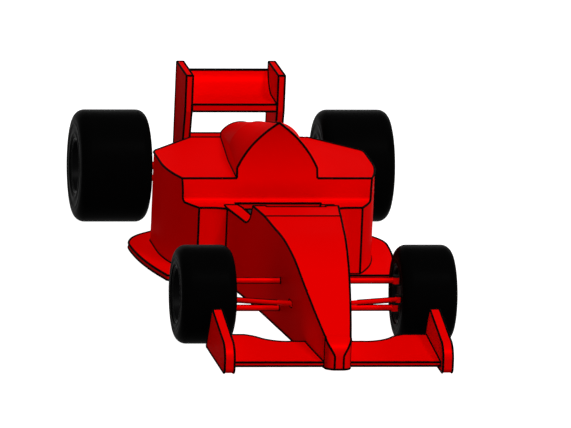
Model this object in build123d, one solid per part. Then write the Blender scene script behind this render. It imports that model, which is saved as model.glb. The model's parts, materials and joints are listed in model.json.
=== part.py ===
from build123d import *
import os
from math import cos, pi, radians, sin, tan

# An open wheel racing car. x points to the car's left, y to its rear, z up, and the floor is z = 0.

# Main sizes of the car
wheelbase = 2975.0
nose_reach = 955.0              # tip of the nose ahead of the front axle
body_half_width = 634.0         # widest place of the side bodies
body_top = 652.0                # flat top of the side bodies
front_track = 1300.0
rear_track = 1470.0
front_tyre_radius = 288.0
front_tyre_width = 328.0
rear_tyre_radius = 336.0
rear_tyre_width = 432.0

# Wheels
tyre_shoulder = 62.0
shoulder_facets = 3
tyre_sides = 72                 # flats round a tyre, each within 0.4 mm of the circle
rim_radius = 168.0
rim_wall = 14.0
rim_inset = 14.0                # rim edge inside the tyre's side
dish_depth_share = 0.62         # place of the wheel's disc across the tyre
dish_thickness = 26.0
hub_radius = 46.0
hub_length = 74.0
nut_radius = 34.0
nut_length = 26.0
spokes = 9
spoke_width = 26.0
window_inner_radius = 66.0
window_outer_radius = 132.0

# Uprights, rods and steering
axle_radius = 21.0
running_gap = 0.05
drum_radius = 148.0
drum_depth = 34.0
drum_setback = 33.0             # drum's face outboard of the tyre's inner side
joint_setback = 8.0             # rod joints outboard of the tyre's inner side
kingpin_behind = 50.0           # steering axis behind the front axle
rod_radius = 16.0
upper_rod_height = 357.0
lower_rod_height = 193.0
eye_radius = 21.0
eye_lip = 2.0                   # eye's height past its rod's side
pin_radius = 8.0
lug_thickness = 12.0
lug_half_width = 19.0
lug_gap = 1.0
steer_arm = 105.0               # track rod joint ahead of the steering axis
steer_angle = 15.0
track_rod_radius = 14.0
track_eye_radius = 18.0
track_pin_radius = 6.0
track_outer_height = 269.0
track_inner_height = 279.0
rack_half_length = 75.0
rack_radius = 12.0
rack_ahead = 209.0              # rack ahead of the front axle
rack_ball_radius = 16.0
ball_facets = 4
rack_housing_half_length = 25.0
rack_housing_wall = 14.0
moving_gap = 5.0

# Rear suspension and driveline
rear_rod_heights = (359.0, 281.0)
rear_rod_ahead = 85.0           # rear rods ahead of the rear axle
gearbox_half_width = 118.0
gearbox_tail_half_width = 60.0
shaft_flange_radius = 52.0
shaft_flange_depth = 16.0
crash_box_half_width = 45.0
crash_box_height = 110.0
tow_bore_radius = 10.0
tow_bore_depth = 70.0
engine_half_width = 190.0
engine_height = 330.0

# Panels and cockpit
cover_wall = 22.0
seat_wall = 26.0
seat_gap = 0.3
dash_thickness = 18.0
dash_height = 120.0
column_radius = 11.0
column_bush_radius = 24.0
column_bush_half_length = 36.0
column_end_gap = 20.0           # column's end short of the rack's housing
grip_ring_radius = 118.0
grip_radius = 13.0
grip_sides = 6
wheel_hub_radius = 42.0
wheel_hub_depth = 26.0
wheel_spoke_width = 30.0
column_tilt = 9.0
overrun = 40.0                  # how far a cutting form runs past what it cuts
form_width = 2 * body_half_width        # forms that only cut reach out and up this far
form_height = 2 * body_top

length = nose_reach + wheelbase + rear_tyre_radius
front_axle_y = nose_reach - length / 2
rear_axle_y = front_axle_y + wheelbase

# Shares: y of the wheelbase behind the front axle or of the nose's reach ahead of it,
# x of the body's half width, z of the body's top
nose_split_share = -0.371
body_front_share = 0.398
cover_front_share = 0.420
tub_end_share = 0.575
body_end_share = 0.801
tail_share = 1.104
tub_side_share = 0.517
floor_low_share = 0.127
floor_top_share = 0.172
step_low_share = 0.095
cover_low_share = 0.730

# A leg with one place is straight, a leg with two is an arc through the first to the second
nose_plan_shares = [            # y, half width
    ((-1.000, 0.041),),
    ((-0.985, 0.083), (-0.925, 0.117)),
    ((-0.639, 0.180), (-0.327, 0.236)),
    ((0.150, 0.357),),
    ((0.280, 0.430), (0.400, 0.517)),
    ((0.575, 0.517),),
]
nose_side_shares = [            # y, height
    ((-1.000, 0.118),),
    ((-1.000, 0.210),),
    ((-0.981, 0.320), (-0.903, 0.400)),
    ((-0.327, 0.795),),
    ((-0.093, 0.906), (0.065, 0.959)),
    ((0.150, 0.989),),
    ((0.234, 0.989),),
    ((0.251, 0.850), (0.290, 0.789)),
    ((0.420, 0.790),),
    ((0.420, 0.730),),
    ((0.575, 0.730),),
    ((0.575, 0.172),),
    ((0.387, 0.172),),
    ((0.387, 0.108),),
    ((-0.900, 0.108),),
]
cavity_plan_shares = [          # y, half width
    ((-0.312, 0.200),),
    ((0.000, 0.225),),
    ((0.238, 0.279),),
    ((0.398, 0.363),),
    ((0.436, 0.405),),
]
cavity_side_shares = [          # y, height
    ((-0.312, 0.215),),
    ((-0.312, 0.640),),
    ((0.060, 0.890),),
    ((0.226, 0.920),),
    ((0.226, 1.200),),
    ((0.436, 1.200),),
    ((0.436, 0.215),),
]
body_plan_shares = [            # y, half width
    ((0.398, 0.770),),
    ((0.428, 0.841), (0.456, 0.896)),
    ((0.524, 0.976), (0.595, 1.000)),
    ((0.668, 1.000),),
    ((0.686, 0.985), (0.697, 0.951)),
    ((0.801, 0.558),),
]
body_side_shares = [            # y, height
    ((0.398, 0.172),),
    ((0.398, 0.790),),
    ((0.442, 0.790),),
    ((0.4484, 0.804), (0.451, 0.840)),
    ((0.4523, 0.920), (0.456, 1.000)),
    ((0.801, 1.000),),
    ((0.801, 0.172),),
]
floor_plan_shares = [           # y, half width
    ((0.387, 1.020),),
    ((0.389, 1.045), (0.397, 1.060)),
    ((0.509, 1.174), (0.630, 1.222)),
    ((0.689, 1.176), (0.735, 1.023)),
    ((0.790, 0.740),),
    ((0.815, 0.660), (0.870, 0.600)),
]
step_inset_share = 0.060
diffuser_shares = [             # y, height of the underside, height of the top
    (0.870, 0.127, 0.172),
    (1.104, 0.300, 0.336),
]
diffuser_half_width_share = 0.600
strake_places_share = (-0.98, -0.45, 0.45, 0.98)
strake_thickness = 12.0
cove_plan_shares = [            # y, x of the hollow between a side body's front and the tub
    ((0.400, 0.640),),
    ((0.398, 0.640),),
    ((0.3956, 0.575), (0.3885, 0.510)),
    ((0.400, 0.510),),
]
cover_arch_shares = [           # y, ridge height, arc's middle x and z, side's half width and top
    (0.448, 1.524, 0.216, 1.328, 0.382, 1.084),
    (0.600, 1.362, 0.270, 1.285, 0.348, 1.140),
    (0.801, 1.129, 0.210, 1.105, 0.265, 1.050),
]
cover_face_shares = [           # y, height of the hollowed front of the cover's spine
    ((0.440, 1.000),),
    ((0.456, 1.000),),
    ((0.4637, 1.262), (0.456, 1.530)),
    ((0.440, 1.560),),
]
front_wing_plan_shares = [      # y, x across the left half
    ((-0.925, 0.000),),
    ((-0.925, 0.962),),
    ((-0.414, 0.962),),
    ((-0.414, 0.740),),
    ((-0.439, 0.665), (-0.480, 0.600)),
    ((-0.530, 0.480), (-0.542, 0.330)),
    ((-0.542, 0.000),),
]
front_wing_side_shares = [      # y, height
    ((-0.925, 0.123),),
    ((-0.925, 0.159),),
    ((-0.414, 0.221),),
    ((-0.414, 0.198),),
]
front_plate_side_shares = [     # y, height
    ((-0.956, 0.076),),
    ((-0.984, 0.091), (-0.994, 0.130)),
    ((-0.994, 0.207),),
    ((-0.969, 0.286), (-0.888, 0.348)),
    ((-0.477, 0.478),),
    ((-0.321, 0.090),),
    ((-0.327, 0.079), (-0.343, 0.076)),
]
front_plate_x_shares = (0.962, 1.054)
rear_wing_side_shares = [       # y, height
    ((0.981, 1.045),),
    ((0.981, 1.112),),
    ((1.040, 1.122),),
    ((1.082, 1.190), (1.098, 1.313)),
    ((1.104, 1.311),),
    ((1.094, 1.145), (1.045, 1.064)),
]
rear_plate_side_shares = [      # y, height
    ((0.981, 1.045),),
    ((0.981, 1.384),),
    ((1.104, 1.384),),
    ((1.104, 0.200),),
    ((1.026, 0.200),),
]
rear_plate_x_shares = (0.407, 0.472)
beam_side_shares = [            # y, height
    ((1.020, 0.625),),
    ((1.020, 0.665),),
    ((1.060, 0.678), (1.098, 0.715)),
    ((1.098, 0.700),),
    ((1.060, 0.645), (1.024, 0.625)),
]
gearbox_plan_shares = (0.771, 1.030, 1.062)     # y of the front, the waist and the tail
gearbox_side_shares = [         # y, height
    ((0.771, 0.172),),
    ((0.771, 0.640),),
    ((1.000, 0.610),),
    ((1.062, 0.595),),
    ((1.062, 0.400),),
    ((1.000, 0.320),),
    ((0.900, 0.205),),
    ((0.870, 0.172),),
]
seat_side_shares = [            # y, height
    ((0.268, 0.215),),
    ((0.262, 0.300),),
    ((0.300, 0.330),),
    ((0.400, 0.730),),
    ((0.434, 0.730),),
    ((0.434, 0.215),),
]
seat_hollow_shares = [          # y, height
    ((0.250, 0.285),),
    ((0.235, 0.420),),
    ((0.390, 0.850),),
    ((0.418, 0.850),),
    ((0.370, 0.330),),
    ((0.350, 0.268), (0.320, 0.255)),
]
seat_half_width_share = 0.286
steering_wheel_place_share = (0.268, 0.672)
dash_place_share = 0.215
slot_shares = (0.250, 0.310)            # x of the tub's wall at the track rod, middle and outer side
tail_space_shares = (0.990, 1.120)      # y of the space that the diffuser takes from the end plates


def along(share):
    return front_axle_y + share * (wheelbase if share > 0 else nose_reach)


def across(share):
    return share * body_half_width


def above(share):
    return share * body_top


def edges_through(legs, place):
    edges = []
    here = place(legs[0][-1])
    for leg in legs[1:]:
        stops = [place(stop) for stop in leg]
        if len(stops) == 1:
            edges.append(Line(here, stops[0]))
        else:
            edges.append(ThreePointArc(here, *stops))
        here = stops[-1]
    return edges


def closed_face(edges, start, end):
    return Face(Wire(edges + [Line(end, start)]))


def side_form(legs, low_x, high_x):
    def place(stop):
        return Vector(low_x, along(stop[0]), above(stop[1]))
    face = closed_face(edges_through(legs, place), place(legs[0][-1]), place(legs[-1][-1]))
    return extrude(face, high_x - low_x, dir=(1, 0, 0))


def plan_form(legs, low_z, high_z, inset=0.0):
    def left(stop):
        return Vector(across(stop[1]) - inset, along(stop[0]), low_z)

    def right(stop):
        return Vector(inset - across(stop[1]), along(stop[0]), low_z)
    left_edges = edges_through(legs, left)
    right_edges = edges_through(legs, right)
    front = Line(right(legs[0][-1]), left(legs[0][-1]))
    rear = Line(left(legs[-1][-1]), right(legs[-1][-1]))
    face = Face(Wire(left_edges + [rear] + right_edges + [front]))
    return extrude(face, high_z - low_z, dir=(0, 0, 1))


def block(low, high):
    size = Vector(*high) - Vector(*low)
    middle = (Vector(*high) + Vector(*low)) * 0.5
    return Pos(middle) * Box(size.X, size.Y, size.Z)


def rod(start, end, radius):
    axis = Vector(*end) - Vector(*start)
    plane = Plane(origin=Vector(*start), z_dir=axis)
    return extrude(plane * Circle(radius), axis.length)


def mirrored(shape):
    return mirror(shape, about=Plane.YZ)


def save(name, shape):
    shape.label = name
    export_step(shape, "parts/" + name + ".step")


def save_pair(name, shape):
    save(name + "_left", shape)
    save(name + "_right", mirrored(shape))


# Nose and tub: one outer form, split at the front bulkhead
def outer_hull():
    plan = plan_form(nose_plan_shares, 0, form_height)
    side = side_form(nose_side_shares, -body_half_width, body_half_width)
    return plan & side


def cockpit_cavity():
    plan = plan_form(cavity_plan_shares, 0, form_height)
    side = side_form(cavity_side_shares, -body_half_width, body_half_width)
    return plan & side


def track_ends():
    outer_x = front_track / 2 - front_tyre_width / 2 + joint_setback
    outer = Vector(outer_x, front_axle_y + kingpin_behind - steer_arm, track_outer_height)
    inner = Vector(rack_half_length, front_axle_y - rack_ahead, track_inner_height)
    return inner, outer


def rack_travel():
    return steer_arm * radians(steer_angle)


def track_rod_slot():
    inner, outer = track_ends()
    slope = (outer.Y - inner.Y) / (outer.X - inner.X)
    fall = (outer.Z - inner.Z) / (outer.X - inner.X)
    wall_x, wall_out = (across(share) for share in slot_shares)
    run = wall_x - inner.X
    middle = Vector(wall_x, inner.Y + slope * run, inner.Z + fall * run)
    half_height = track_rod_radius + moving_gap
    half_length = half_height + slope * (rack_travel() + (wall_out - wall_x))
    plane = Plane(origin=middle, x_dir=(0, 1, 0), z_dir=(1, 0, 0))
    return extrude(plane * SlotOverall(2 * half_length, 2 * half_height), wall_out - wall_x, both=True)


def nose_cone(hull):
    ahead = block((-body_half_width, front_axle_y - nose_reach - overrun, 0),
                  (body_half_width, along(nose_split_share), form_height))
    return hull & ahead


def monocoque(hull, cavity):
    behind = block((-body_half_width, along(nose_split_share), 0),
                   (body_half_width, along(tub_end_share) + overrun, form_height))
    slot = track_rod_slot()
    return (hull & behind) - cavity - slot - mirrored(slot)


# Side bodies and engine cover: one outer form, split beside the tub
def body_form():
    plan = plan_form(body_plan_shares, 0, form_height)
    side = side_form(body_side_shares, -body_half_width, body_half_width)
    return plan & side


def inner_cove(hull):
    low = above(floor_top_share)
    high = above(body_side_shares[1][0][1])

    def place(stop):
        return Vector(across(stop[1]), along(stop[0]), low)
    legs = cove_plan_shares
    face = closed_face(edges_through(legs, place), place(legs[0][-1]), place(legs[-1][-1]))
    return extrude(face, high - low, dir=(0, 0, 1)) - hull


def side_body(form, hull):
    pod = form & block((across(tub_side_share), along(body_front_share), 0),
                       (form_width, along(body_end_share) + overrun, form_height))
    return pod + inner_cove(hull)


def cover_spine():
    sections = []
    for y_share, ridge, mid_x, mid_z, side, side_top in cover_arch_shares:
        def place(x_share, z_share, y_share=y_share):
            return Vector(across(x_share), along(y_share), above(z_share))
        ridge_place = place(0, ridge)
        sections.append(Face(Wire([
            Line(place(-side, 1), place(-side, side_top)),
            ThreePointArc(place(-side, side_top), place(-mid_x, mid_z), ridge_place),
            ThreePointArc(ridge_place, place(mid_x, mid_z), place(side, side_top)),
            Line(place(side, side_top), place(side, 1)),
            Line(place(side, 1), place(-side, 1))])))
    spine = loft(sections, ruled=True)
    return spine - side_form(cover_face_shares, -body_half_width, body_half_width)


def engine_cover(form, cavity):
    inner = across(tub_side_share)
    centre = form & block((-inner, along(cover_front_share), above(cover_low_share)),
                          (inner, along(body_end_share) + overrun, form_height))
    bay = block((-inner + cover_wall, along(tub_end_share) + cover_wall, above(cover_low_share) - overrun),
                (inner - cover_wall, along(body_end_share) + overrun, body_top - cover_wall))
    return (centre - bay) + cover_spine() - cavity


# Floor, step and diffuser
def floor_plate():
    return plan_form(floor_plan_shares, above(floor_low_share), above(floor_top_share))


def step_plate():
    return plan_form(floor_plan_shares, above(step_low_share), above(floor_low_share),
                     inset=across(step_inset_share))


def diffuser_top(y_share):
    first, last = diffuser_shares
    rise = (last[2] - first[2]) / (last[0] - first[0])
    return first[2] + rise * (y_share - first[0])


def diffuser():
    first, last = diffuser_shares
    half = across(diffuser_half_width_share)
    legs = [((first[0], first[1]),), ((first[0], first[2]),), ((last[0], last[2]),), ((last[0], last[1]),)]
    ramp = side_form(legs, -half, half)
    fin_legs = [((first[0], first[1]),), ((last[0], last[1]),), ((last[0], step_low_share),),
                ((first[0], step_low_share),)]
    for place_share in strake_places_share:
        middle = place_share * half
        ramp += side_form(fin_legs, middle - strake_thickness / 2, middle + strake_thickness / 2)
    return ramp


# Wings
def front_wing(hull):
    low = above(front_wing_side_shares[0][0][1])

    def place(stop):
        return Vector(across(stop[1]), along(stop[0]), low)
    legs = front_wing_plan_shares
    face = closed_face(edges_through(legs, place), place(legs[0][-1]), place(legs[-1][-1]))
    plan = extrude(face, body_top, dir=(0, 0, 1))
    half = (plan & side_form(front_wing_side_shares, 0, form_width)) - hull
    return half + mirrored(half)


def front_wing_end_plate():
    low, high = front_plate_x_shares
    return side_form(front_plate_side_shares, across(low), across(high))


def rear_wing():
    half = across(rear_plate_x_shares[0])
    return side_form(rear_wing_side_shares, -half, half)


def rear_wing_end_plate(ramp):
    low, high = rear_plate_x_shares
    return side_form(rear_plate_side_shares, across(low), across(high)) - ramp - tail_space_below()


def tail_space_below():
    start, end = tail_space_shares
    legs = [((start, 0),), ((start, diffuser_top(start)),), ((end, diffuser_top(end)),), ((end, 0),)]
    return side_form(legs, 0, body_half_width)


def lower_rear_wing():
    half = across(rear_plate_x_shares[0])
    return side_form(beam_side_shares, -half, half)


# Driveline
def gearbox():
    front, waist, tail = (along(share) for share in gearbox_plan_shares)
    left = [(gearbox_half_width, front), (gearbox_half_width, waist), (gearbox_tail_half_width, tail)]
    corners = left + [(-x, y) for x, y in reversed(left)]
    plan = extrude(Face(Wire(Polyline(*corners, close=True))), body_top)
    side = side_form(gearbox_side_shares, -body_half_width, body_half_width)
    middle = rear_tyre_radius
    boss = rod((-gearbox_half_width - shaft_flange_depth, rear_axle_y, middle),
               (gearbox_half_width + shaft_flange_depth, rear_axle_y, middle), shaft_flange_radius)
    bore = rod((-body_half_width, rear_axle_y, middle), (body_half_width, rear_axle_y, middle),
               axle_radius + running_gap)
    return (plan & side) + boss - bore


def rear_crash_box():
    start = along(gearbox_plan_shares[-1])
    end = along(tail_share)
    middle = rear_tyre_radius
    box_form = block((-crash_box_half_width, start, middle - crash_box_height / 2),
                     (crash_box_half_width, end, middle + crash_box_height / 2))
    bore = rod((0, end - tow_bore_depth, middle), (0, end + overrun, middle), tow_bore_radius)
    return box_form - bore


def engine_block():
    floor_z = above(floor_top_share)
    return block((-engine_half_width, along(tub_end_share), floor_z),
                 (engine_half_width, along(gearbox_plan_shares[0]), floor_z + engine_height))


# Wheels, built at the origin with the inner side at x = 0 and then set on their axles
def tyre_ring(x, radius):
    plane = Plane(origin=(x, 0, 0), x_dir=(0, 1, 0), z_dir=(1, 0, 0))
    return plane * RegularPolygon(radius, tyre_sides, major_radius=False, rotation=180 / tyre_sides)


def tyre(radius, width):
    corner = radius - tyre_shoulder
    shoulder = []
    for step in range(shoulder_facets + 1):
        turn = pi / 2 * step / shoulder_facets
        shoulder.append((tyre_shoulder * (1 - cos(turn)), corner + tyre_shoulder * sin(turn)))
    far_shoulder = [(width - x, r) for x, r in reversed(shoulder)]
    outside = loft([tyre_ring(x, r) for x, r in shoulder + far_shoulder], ruled=True)
    return outside - extrude(tyre_ring(0, rim_radius), width)


def rim_window(disc_x):
    half_turn = pi / spokes
    corners = []
    for r, side in ((window_inner_radius, -1), (window_outer_radius, -1), (window_outer_radius, 1),
                    (window_inner_radius, 1)):
        half = r * tan(half_turn) - spoke_width / 2 / cos(half_turn)
        corners.append((disc_x, side * half, r))
    return extrude(Face(Wire(Polyline(*corners, close=True))), dish_thickness, dir=(1, 0, 0))


def rim(width, bore_radius):
    barrel = rod((rim_inset, 0, 0), (width - rim_inset, 0, 0), rim_radius)
    barrel -= rod((0, 0, 0), (width, 0, 0), rim_radius - rim_wall)
    disc_x = dish_depth_share * width
    disc = rod((disc_x, 0, 0), (disc_x + dish_thickness, 0, 0), rim_radius - rim_wall)
    window = rim_window(disc_x)
    disc -= [Rot(360 / spokes * turn, 0, 0) * window for turn in range(spokes)]
    hub_start = disc_x + dish_thickness - hub_length
    hub = rod((hub_start, 0, 0), (hub_start + hub_length, 0, 0), hub_radius)
    nut = extrude(Plane(origin=(disc_x + dish_thickness, 0, 0), z_dir=(1, 0, 0))
                  * RegularPolygon(nut_radius, 6), nut_length)
    bore = rod((hub_start - overrun, 0, 0), (disc_x + dish_thickness, 0, 0), bore_radius)
    return barrel + disc + hub + nut - bore


def stub_end(width):
    return dish_depth_share * width + dish_thickness


def on_axle(shape, track, width, axle_y, radius):
    return Pos(track / 2 - width / 2, axle_y, radius) * shape


# Front knuckle: drum, stub axle, rod lugs and steering arm
def fork(place, radius, height):
    reach = drum_setback - joint_setback
    gap = height / 2 + lug_gap
    form = rod((place.X, place.Y, place.Z - gap - lug_thickness),
               (place.X, place.Y, place.Z + gap + lug_thickness), radius)
    for low in (place.Z - gap - lug_thickness, place.Z + gap):
        form += block((place.X, place.Y - lug_half_width, low),
                      (place.X + reach, place.Y + lug_half_width, low + lug_thickness))
        form += rod((place.X, place.Y, low), (place.X, place.Y, low + lug_thickness), lug_half_width)
    return form


def kingpin_place(height):
    joint_x = front_track / 2 - front_tyre_width / 2 + joint_setback
    return Vector(joint_x, front_axle_y + kingpin_behind, height)


def front_knuckle():
    inner_side = front_track / 2 - front_tyre_width / 2
    face_x = inner_side + drum_setback
    middle = front_tyre_radius
    form = rod((face_x, front_axle_y, middle), (face_x + drum_depth, front_axle_y, middle), drum_radius)
    form += rod((face_x, front_axle_y, middle), (inner_side + stub_end(front_tyre_width) - seat_gap,
                front_axle_y, middle), axle_radius)
    for height in (upper_rod_height, lower_rod_height):
        form += fork(kingpin_place(height), pin_radius, 2 * (rod_radius + eye_lip))
    inner, outer = track_ends()
    form += fork(outer, track_pin_radius, 2 * (track_rod_radius + eye_lip))
    return form


def front_rods(hull):
    rods = []
    half = rod_radius + eye_lip
    for height in (upper_rod_height, lower_rod_height):
        end = kingpin_place(height)
        bar = rod((0, end.Y, height), (end.X, end.Y, height), rod_radius) - hull
        bar += rod((end.X, end.Y, height - half), (end.X, end.Y, height + half), eye_radius)
        bar -= rod((end.X, end.Y, height - overrun), (end.X, end.Y, height + overrun),
                   pin_radius + running_gap)
        rods.append(bar)
    return rods[0] + rods[1]


# Steering: rack and its housing, track rods, wheel and column
def track_drift():
    return steer_arm * (1 - cos(radians(steer_angle)))


def rack_ball():
    outline = []
    for step in range(ball_facets + 1):
        turn = pi * step / ball_facets
        outline.append((-rack_ball_radius * cos(turn), rack_ball_radius * sin(turn)))
    return revolve(Face(Wire(Polyline(*outline, close=True))), Axis.X)


def track_rod():
    inner, outer = track_ends()
    bar = rod(inner, outer, track_rod_radius) - Pos(inner) * rack_ball()
    half = track_rod_radius + eye_lip
    bar += rod((outer.X, outer.Y, outer.Z - half), (outer.X, outer.Y, outer.Z + half), track_eye_radius)
    eye_bore = track_pin_radius + track_drift() / 2 + lug_gap
    bar -= rod((outer.X, outer.Y + track_drift() / 2, outer.Z - overrun),
               (outer.X, outer.Y + track_drift() / 2, outer.Z + overrun), eye_bore)
    return bar


def steering_rack():
    inner, outer = track_ends()
    form = rod((-inner.X, inner.Y, inner.Z), (inner.X, inner.Y, inner.Z), rack_radius)
    for side in (-1, 1):
        form += Pos(side * inner.X, inner.Y, inner.Z) * rack_ball()
    return form


def rack_housing():
    inner, outer = track_ends()
    outer_radius = rack_radius + rack_housing_wall
    floor_z = above(cavity_side_shares[0][0][1])
    form = rod((-rack_housing_half_length, inner.Y, inner.Z), (rack_housing_half_length, inner.Y, inner.Z),
               outer_radius)
    form += block((-rack_housing_half_length, inner.Y - outer_radius, floor_z),
                  (rack_housing_half_length, inner.Y + outer_radius, inner.Z))
    return form - rod((-overrun, inner.Y, inner.Z), (overrun, inner.Y, inner.Z), rack_radius + running_gap)


def column_axis():
    centre = Vector(0, along(steering_wheel_place_share[0]), above(steering_wheel_place_share[1]))
    forward = Vector(0, -cos(radians(column_tilt)), -sin(radians(column_tilt)))
    return centre, forward


def dash_y():
    return along(dash_place_share)


def dash_panel(cavity):
    centre, forward = column_axis()
    low = centre.Z - dash_height / 2
    sheet = block((-body_half_width, dash_y() - dash_thickness, low),
                  (body_half_width, dash_y(), low + dash_height)) & cavity
    reach = (centre.Y - dash_y() + dash_thickness / 2) / cos(radians(column_tilt))
    at = centre + forward * reach
    bush = rod(at - forward * column_bush_half_length, at + forward * column_bush_half_length,
               column_bush_radius)
    hole = rod(centre, centre + forward * (reach + column_bush_half_length + overrun),
               column_radius + running_gap)
    return sheet + bush - hole


def steering_wheel():
    centre, forward = column_axis()
    plane = Plane(origin=centre, x_dir=(1, 0, 0), z_dir=-forward)
    section = Plane.XZ * Pos(grip_ring_radius, 0) * RegularPolygon(grip_radius, grip_sides)
    ring = plane * revolve(section, Axis.Z)
    hub = plane * Cylinder(wheel_hub_radius, wheel_hub_depth)
    spokes = plane * Box(2 * grip_ring_radius, wheel_spoke_width, grip_radius)
    return ring + hub + spokes


def steering_column():
    centre, forward = column_axis()
    start = centre + forward * (wheel_hub_depth / 2)
    rack_y = front_axle_y - rack_ahead
    reach = (centre.Y - rack_y) / cos(radians(column_tilt))
    end = centre + forward * (reach - rack_radius - rack_housing_wall - column_end_gap)
    return rod(start, end, column_radius)


# Seat: a bucket on the cockpit floor
def seat():
    half = across(seat_half_width_share)
    shell = side_form(seat_side_shares, -half, half)
    hollow = side_form(seat_hollow_shares, -half + seat_wall, half - seat_wall)
    return shell - hollow


# Rear uprights and rods
def rear_upright():
    inner_side = rear_track / 2 - rear_tyre_width / 2
    face_x = inner_side + drum_setback
    middle = rear_tyre_radius
    form = rod((face_x, rear_axle_y, middle), (face_x + drum_depth, rear_axle_y, middle), drum_radius)
    form -= rod((0, rear_axle_y, middle), (rear_track, rear_axle_y, middle), axle_radius + running_gap)
    return form


def rear_rods(gearbox_form):
    inner_side = rear_track / 2 - rear_tyre_width / 2
    bars = []
    for height in rear_rod_heights:
        y = rear_axle_y - rear_rod_ahead
        bars.append(rod((0, y, height), (inner_side + drum_setback, y, height), rod_radius) - gearbox_form)
    return bars


def driveshaft():
    start = gearbox_half_width
    end = rear_track / 2 - rear_tyre_width / 2 + stub_end(rear_tyre_width)
    return rod((start, rear_axle_y, rear_tyre_radius), (end, rear_axle_y, rear_tyre_radius), axle_radius)


def main():
    os.makedirs("parts", exist_ok=True)
    hull = outer_hull()
    cavity = cockpit_cavity()
    form = body_form()
    save("nose_cone", nose_cone(hull))
    save("monocoque", monocoque(hull, cavity))
    save_pair("side_body", side_body(form, hull))
    save("engine_cover", engine_cover(form, cavity))
    save("floor_plate", floor_plate())
    save("step_plate", step_plate())
    ramp = diffuser()
    save("diffuser", ramp)
    save("front_wing", front_wing(hull))
    save_pair("front_wing_end_plate", front_wing_end_plate())
    save("rear_wing", rear_wing())
    save_pair("rear_wing_end_plate", rear_wing_end_plate(ramp))
    save("lower_rear_wing", lower_rear_wing())
    box_form = gearbox()
    save("gearbox", box_form)
    save("rear_crash_box", rear_crash_box())
    save("engine_block", engine_block())
    save_pair("front_rods", front_rods(hull))
    save_pair("front_knuckle", front_knuckle())
    save_pair("track_rod", track_rod())
    save("steering_rack", steering_rack())
    save("rack_housing", rack_housing())
    save("dash_panel", dash_panel(cavity))
    save("steering_wheel", steering_wheel())
    save("steering_column", steering_column())
    save("seat", seat())
    save_pair("rear_upright", rear_upright())
    save_pair("rear_rods", Compound(children=rear_rods(box_form)))
    save_pair("driveshaft", driveshaft())
    front_wheel = (front_track, front_tyre_width, front_axle_y, front_tyre_radius)
    rear_wheel = (rear_track, rear_tyre_width, rear_axle_y, rear_tyre_radius)
    save_pair("front_tyre", on_axle(tyre(front_tyre_radius, front_tyre_width), *front_wheel))
    save_pair("front_rim", on_axle(rim(front_tyre_width, axle_radius + running_gap), *front_wheel))
    save_pair("rear_tyre", on_axle(tyre(rear_tyre_radius, rear_tyre_width), *rear_wheel))
    save_pair("rear_rim", on_axle(rim(rear_tyre_width, axle_radius), *rear_wheel))


main()
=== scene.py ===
import json
import math
import bmesh
import bpy
from mathutils import Matrix, Vector


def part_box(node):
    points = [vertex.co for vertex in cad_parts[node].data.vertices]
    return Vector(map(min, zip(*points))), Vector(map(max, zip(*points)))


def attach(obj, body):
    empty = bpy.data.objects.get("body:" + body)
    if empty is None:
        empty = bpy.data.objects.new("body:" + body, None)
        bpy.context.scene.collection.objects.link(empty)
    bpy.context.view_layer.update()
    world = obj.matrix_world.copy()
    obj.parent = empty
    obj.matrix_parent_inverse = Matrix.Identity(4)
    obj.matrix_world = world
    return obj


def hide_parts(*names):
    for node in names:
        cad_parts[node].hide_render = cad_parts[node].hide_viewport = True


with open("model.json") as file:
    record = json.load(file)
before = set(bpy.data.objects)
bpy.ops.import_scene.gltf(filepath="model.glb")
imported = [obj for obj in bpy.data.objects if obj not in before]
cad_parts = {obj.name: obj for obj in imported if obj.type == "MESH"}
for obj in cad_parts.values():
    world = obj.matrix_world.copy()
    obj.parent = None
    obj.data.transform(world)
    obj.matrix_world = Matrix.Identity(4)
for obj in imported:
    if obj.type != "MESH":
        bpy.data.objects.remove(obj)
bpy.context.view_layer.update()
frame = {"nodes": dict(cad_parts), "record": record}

# An open wheel racing car in gloss red, drawn with black edge beads. Metres, +Y to the tail
nodes = frame["nodes"]
bodyOf = {}
for bodyName, bodyNodes in frame["record"]["behaviour"]["bodies"].items():
    for nodeName in bodyNodes:
        bodyOf[nodeName] = bodyName
sides = {"left": 1, "right": -1}
frontAxleY = next(joint["pos_m"][1] for joint in frame["record"]["behaviour"]["joints"]
                  if joint["name"] == "front_wheel_left_turn")


# Small helpers for node trees
def link(tree, start, end):
    tree.links.new(start, end)


def addNode(tree, kind, **values):
    node = tree.nodes.new(kind)
    for name, value in values.items():
        setattr(node, name, value)
    return node


def mathNode(tree, operation, first, second=None, clamp=False):
    node = addNode(tree, "ShaderNodeMath", operation=operation, use_clamp=clamp)
    for index, value in enumerate((first, second)):
        if value is None:
            continue
        if isinstance(value, (int, float)):
            node.inputs[index].default_value = value
        else:
            link(tree, value, node.inputs[index])
    return node.outputs[0]


def newGroup(name, inputs, outputs):
    group = bpy.data.node_groups.new(name, "ShaderNodeTree")
    for label, kind, value in inputs:
        socket = group.interface.new_socket(name=label, in_out="INPUT", socket_type=kind)
        if value is not None:
            socket.default_value = value
    for label, kind in outputs:
        group.interface.new_socket(name=label, in_out="OUTPUT", socket_type=kind)
    return group, addNode(group, "NodeGroupInput"), addNode(group, "NodeGroupOutput")


def useGroup(tree, group, **values):
    node = addNode(tree, "ShaderNodeGroup", node_tree=group)
    for name, value in values.items():
        node.inputs[name].default_value = value
    return node


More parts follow.
